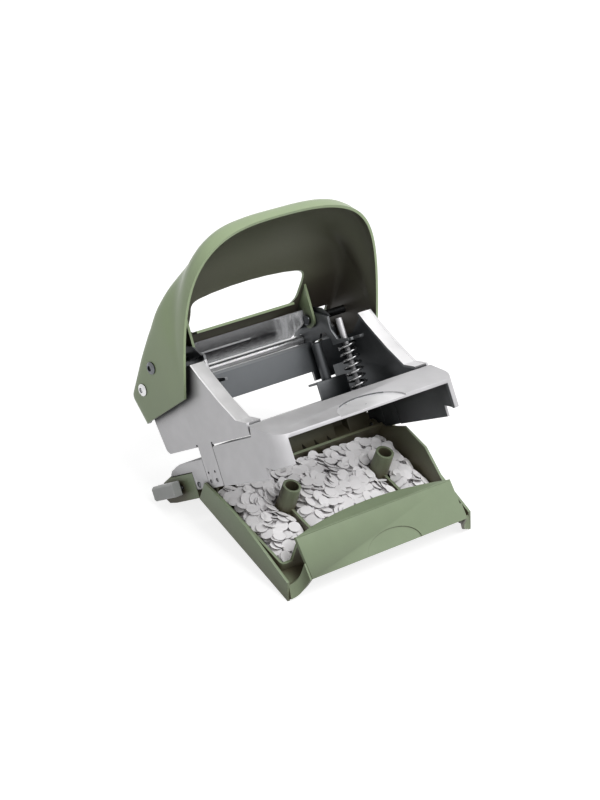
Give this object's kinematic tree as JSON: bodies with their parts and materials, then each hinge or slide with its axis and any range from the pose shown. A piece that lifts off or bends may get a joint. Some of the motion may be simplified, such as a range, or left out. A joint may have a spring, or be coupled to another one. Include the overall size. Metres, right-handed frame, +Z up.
{
  "type": "two-hole punch",
  "caption": "Desk hole punch with a pressed hood handle, sprung lever, punch pins, sliding paper guide and a chip tray that swings down",
  "frame": {"origin": "centre of the footprint on the table, with the punch stood up on its open tray", "axes": "X across the punch, -Y towards the tray's free edge, +Y the paper side, +Z up"},
  "size_m": [0.1396, 0.1376, 0.1505],
  "materials": {
    "green_paint": "olive green enamel, satin",
    "plated_steel": "bright plated sheet steel",
    "green_plastic": "moulded olive green plastic, satin",
    "spring_steel": "drawn spring wire, bright",
    "tool_steel": "ground tool steel",
    "grey_plastic": "moulded grey plastic",
    "paper": "heap of round paper chips"
  },
  "bodies": {
    "base": {"base_shell": "plated_steel", "upper_frame": "plated_steel", "pin_guide_left": "plated_steel", "pin_guide_right": "plated_steel", "die_ring_left": "tool_steel", "die_ring_right": "tool_steel", "guide_housing": "green_plastic", "spring_rod_left": "plated_steel", "spring_rod_right": "plated_steel", "return_spring_left": "spring_steel", "return_spring_right": "spring_steel", "tray_hinge_pin_left": "plated_steel", "tray_hinge_pin_right": "plated_steel"},
    "handle": {"handle_hood": "green_paint", "lever_yoke": "plated_steel", "pivot_axle": "plated_steel", "handle_rivet_left": "plated_steel", "handle_rivet_right": "plated_steel", "axle_washer_left": "plated_steel", "axle_washer_right": "plated_steel"},
    "tray": {"chip_tray": "green_plastic", "paper_chips": "paper"},
    "paper_guide": {"guide_bar": "plated_steel", "guide_bar_clip": "grey_plastic"},
    "pin_left": {"punch_pin_left": "tool_steel"},
    "pin_right": {"punch_pin_right": "tool_steel"}
  },
  "joints": [
    {"name": "handle_pivot", "type": "hinge", "parent": "base", "child": "handle", "pos_m": [0.0022, 0.0595, 0.05679], "axis": [1, 0, 0], "range_deg": [0, 34], "stiffness_Nm_per_rad": 1.2, "springref_deg": -20.05, "deforming": ["return_spring_left", "return_spring_right"]},
    {"name": "tray_hinge", "type": "hinge", "parent": "base", "child": "tray", "pos_m": [0.0022, 0.01299, 0.02362], "axis": [-1, 0, 0], "range_deg": [0, 48.5]},
    {"name": "paper_guide_slide", "type": "slide", "parent": "base", "child": "paper_guide", "axis": [-1, 0, 0], "range_m": [0, 0.075]},
    {"name": "pin_left_slide", "type": "slide", "parent": "base", "child": "pin_left", "axis": [0, -0.6098, -0.7925], "range_m": [0, 0.0078]},
    {"name": "pin_right_slide", "type": "slide", "parent": "base", "child": "pin_right", "axis": [0, -0.6098, -0.7925], "range_m": [0, 0.0078]}
  ],
  "couplings": [
    {"joint": "pin_left_slide", "follows": "handle_pivot", "m_per_rad": 0.013},
    {"joint": "pin_right_slide", "follows": "handle_pivot", "m_per_rad": 0.013}
  ]
}
